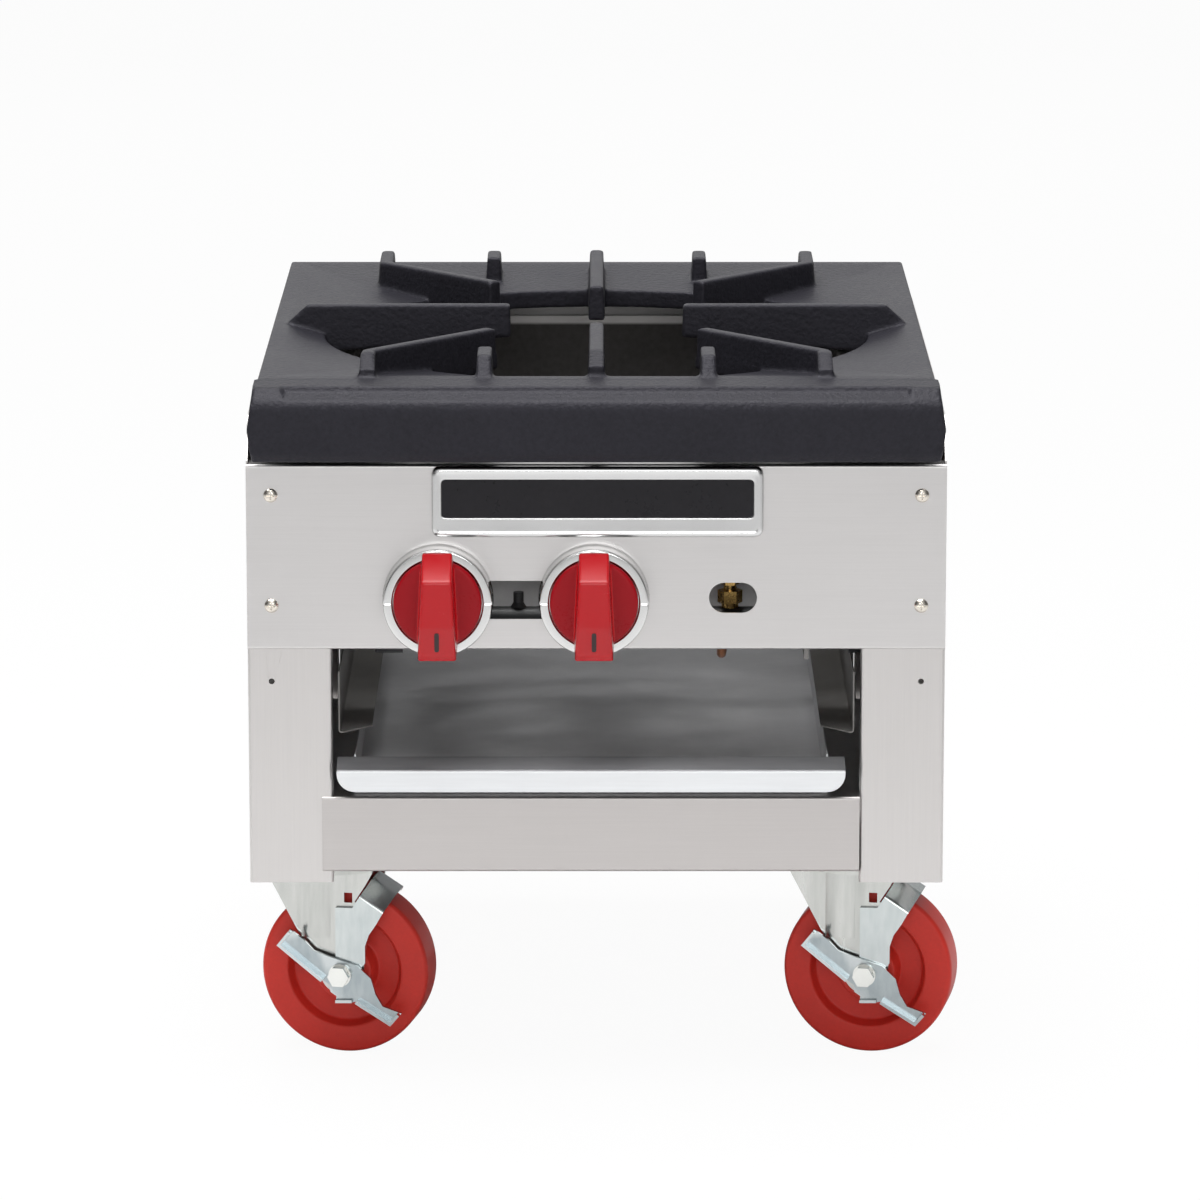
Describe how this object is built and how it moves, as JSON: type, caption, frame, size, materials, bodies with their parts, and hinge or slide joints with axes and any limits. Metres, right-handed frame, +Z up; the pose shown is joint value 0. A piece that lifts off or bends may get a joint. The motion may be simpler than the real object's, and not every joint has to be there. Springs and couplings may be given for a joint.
{
  "type": "stock pot range",
  "caption": "Low single-burner gas stock pot range on braked swivel casters, with a lift-off cast grate, pull-out drip tray and twin control knobs.",
  "frame": {"origin": "on the floor, under the middle of the whole object's bounding box", "axes": "+Z up, +Y from the control panel to the back, +X to the right as seen from the front"},
  "size_m": [0.4724, 0.572, 0.484],
  "materials": {
    "stainless": "brushed, satin",
    "galvanised": "galvanised, dull",
    "dark_sheet": "dull dark grey, heat stained",
    "grate_iron": "dark satin, fine cast grain",
    "burner_iron": "raw casting, matt",
    "shutter_steel": "heat stained brown",
    "black_pipe": "black, satin",
    "brass": "turned",
    "copper": "drawn tube, dull",
    "stem_steel": "turned",
    "red_knob": "glossy red",
    "bezel_chrome": "polished",
    "badge_chrome": "polished rim, satin field",
    "screw_steel": "bright plated",
    "zinc": "bright zinc plate",
    "bolt_zinc": "bright zinc plate",
    "red_wheel": "satin dark red polyurethane"
  },
  "bodies": {
    "body": {"left_side_panel": "stainless", "right_side_panel": "stainless", "back_panel": "stainless", "control_panel": "stainless", "front_lower_rail": "stainless", "rear_lower_rail": "stainless", "left_base_channel": "galvanised", "right_base_channel": "galvanised", "left_liner": "dark_sheet", "right_liner": "dark_sheet", "rear_liner": "dark_sheet", "front_liner": "galvanised", "burner_supports": "dark_sheet", "burner_outer": "burner_iron", "burner_inner": "burner_iron", "manifold": "black_pipe", "pipe_fittings": "black_pipe", "supply_pipe": "black_pipe", "inlet_coupling": "black_pipe", "manifold_brackets": "dark_sheet", "orifice_hoods": "brass", "pilot_valve": "brass", "pilot_tube": "copper", "pilot_burner": "burner_iron", "knob_bezels": "bezel_chrome", "left_valve_body": "brass", "right_valve_body": "brass", "nameplate": "badge_chrome", "panel_screws": "screw_steel", "caster_kingpins": "bolt_zinc", "caster_bearing_balls": "bolt_zinc", "caster_bolts": "bolt_zinc", "front_left_caster_plate": "zinc", "front_right_caster_plate": "zinc", "rear_left_caster_plate": "zinc", "rear_right_caster_plate": "zinc"},
    "grate": {"top_grate": "grate_iron"},
    "tray": {"drip_tray": "stainless"},
    "left_control": {"left_knob": "red_knob", "left_valve_stem": "stem_steel"},
    "right_control": {"right_knob": "red_knob", "right_valve_stem": "stem_steel"},
    "left_shutter": {"left_air_shutter": "shutter_steel"},
    "right_shutter": {"right_air_shutter": "shutter_steel"},
    "front_left_swivel": {"front_left_fork": "zinc", "front_left_axle": "bolt_zinc"},
    "front_left_roller": {"front_left_wheel": "red_wheel"},
    "front_left_lever": {"front_left_brake_lever": "zinc"},
    "front_left_brake": {"front_left_brake_plate": "zinc"},
    "front_right_swivel": {"front_right_fork": "zinc", "front_right_axle": "bolt_zinc"},
    "front_right_roller": {"front_right_wheel": "red_wheel"},
    "front_right_lever": {"front_right_brake_lever": "zinc"},
    "front_right_brake": {"front_right_brake_plate": "zinc"},
    "rear_left_swivel": {"rear_left_fork": "zinc", "rear_left_axle": "bolt_zinc"},
    "rear_left_roller": {"rear_left_wheel": "red_wheel"},
    "rear_right_swivel": {"rear_right_fork": "zinc", "rear_right_axle": "bolt_zinc"},
    "rear_right_roller": {"rear_right_wheel": "red_wheel"}
  },
  "joints": [
    {"name": "grate_lift", "type": "slide", "parent": "body", "child": "grate", "axis": [0, 0, 1], "range_m": [0, 0.12]},
    {"name": "tray_slide", "type": "slide", "parent": "body", "child": "tray", "axis": [0, -1, 0], "range_m": [0, 0.4]},
    {"name": "left_knob_turn", "type": "hinge", "parent": "body", "child": "left_control", "pos_m": [-0.11119, -0.242, 0.3287], "axis": [0, -1, 0], "range_deg": [0, 90]},
    {"name": "right_knob_turn", "type": "hinge", "parent": "body", "child": "right_control", "pos_m": [-0.00909, -0.242, 0.3287], "axis": [0, -1, 0], "range_deg": [0, 90]},
    {"name": "left_shutter_turn", "type": "hinge", "parent": "body", "child": "left_shutter", "pos_m": [-0.11119, -0.156, 0.3287], "axis": [0, -1, 0], "range_deg": [-20, 20]},
    {"name": "right_shutter_turn", "type": "hinge", "parent": "body", "child": "right_shutter", "pos_m": [-0.00909, -0.156, 0.3287], "axis": [0, -1, 0], "range_deg": [-20, 20]},
    {"name": "front_left_caster_swivel", "type": "hinge", "parent": "body", "child": "front_left_swivel", "pos_m": [-0.18369, -0.148, 0.13], "axis": [0, 0, 1], "continuous": true},
    {"name": "front_left_wheel_roll", "type": "hinge", "parent": "front_left_swivel", "child": "front_left_roller", "pos_m": [-0.17436, -0.14981, 0.05715], "axis": [0.1908, 0.9816, 0], "continuous": true},
    {"name": "front_left_brake_pedal", "type": "hinge", "parent": "front_left_swivel", "child": "front_left_lever", "pos_m": [-0.17436, -0.14981, 0.05715], "axis": [-0.1908, -0.9816, 0], "range_deg": [0, 25]},
    {"name": "front_left_brake_press", "type": "slide", "parent": "front_left_swivel", "child": "front_left_brake", "axis": [0, 0, -1], "range_m": [0, 0.003]},
    {"name": "front_right_caster_swivel", "type": "hinge", "parent": "body", "child": "front_right_swivel", "pos_m": [0.16851, -0.148, 0.13], "axis": [0, 0, 1], "continuous": true},
    {"name": "front_right_wheel_roll", "type": "hinge", "parent": "front_right_swivel", "child": "front_right_roller", "pos_m": [0.17784, -0.14981, 0.05715], "axis": [0.1908, 0.9816, 0], "continuous": true},
    {"name": "front_right_brake_pedal", "type": "hinge", "parent": "front_right_swivel", "child": "front_right_lever", "pos_m": [0.17784, -0.14981, 0.05715], "axis": [-0.1908, -0.9816, 0], "range_deg": [0, 25]},
    {"name": "front_right_brake_press", "type": "slide", "parent": "front_right_swivel", "child": "front_right_brake", "axis": [0, 0, -1], "range_m": [0, 0.003]},
    {"name": "rear_left_caster_swivel", "type": "hinge", "parent": "body", "child": "rear_left_swivel", "pos_m": [-0.18369, 0.174, 0.13], "axis": [0, 0, 1], "continuous": true},
    {"name": "rear_left_wheel_roll", "type": "hinge", "parent": "rear_left_swivel", "child": "rear_left_roller", "pos_m": [-0.18369, 0.1835, 0.05715], "axis": [-1, 0, 0], "continuous": true},
    {"name": "rear_right_caster_swivel", "type": "hinge", "parent": "body", "child": "rear_right_swivel", "pos_m": [0.16851, 0.174, 0.13], "axis": [0, 0, 1], "continuous": true},
    {"name": "rear_right_wheel_roll", "type": "hinge", "parent": "rear_right_swivel", "child": "rear_right_roller", "pos_m": [0.16851, 0.1835, 0.05715], "axis": [-1, 0, 0], "continuous": true}
  ],
  "couplings": [
    {"joint": "front_left_brake_press", "follows": "front_left_brake_pedal", "m_per_rad": 0.0068},
    {"joint": "front_right_brake_press", "follows": "front_right_brake_pedal", "m_per_rad": 0.0068}
  ]
}
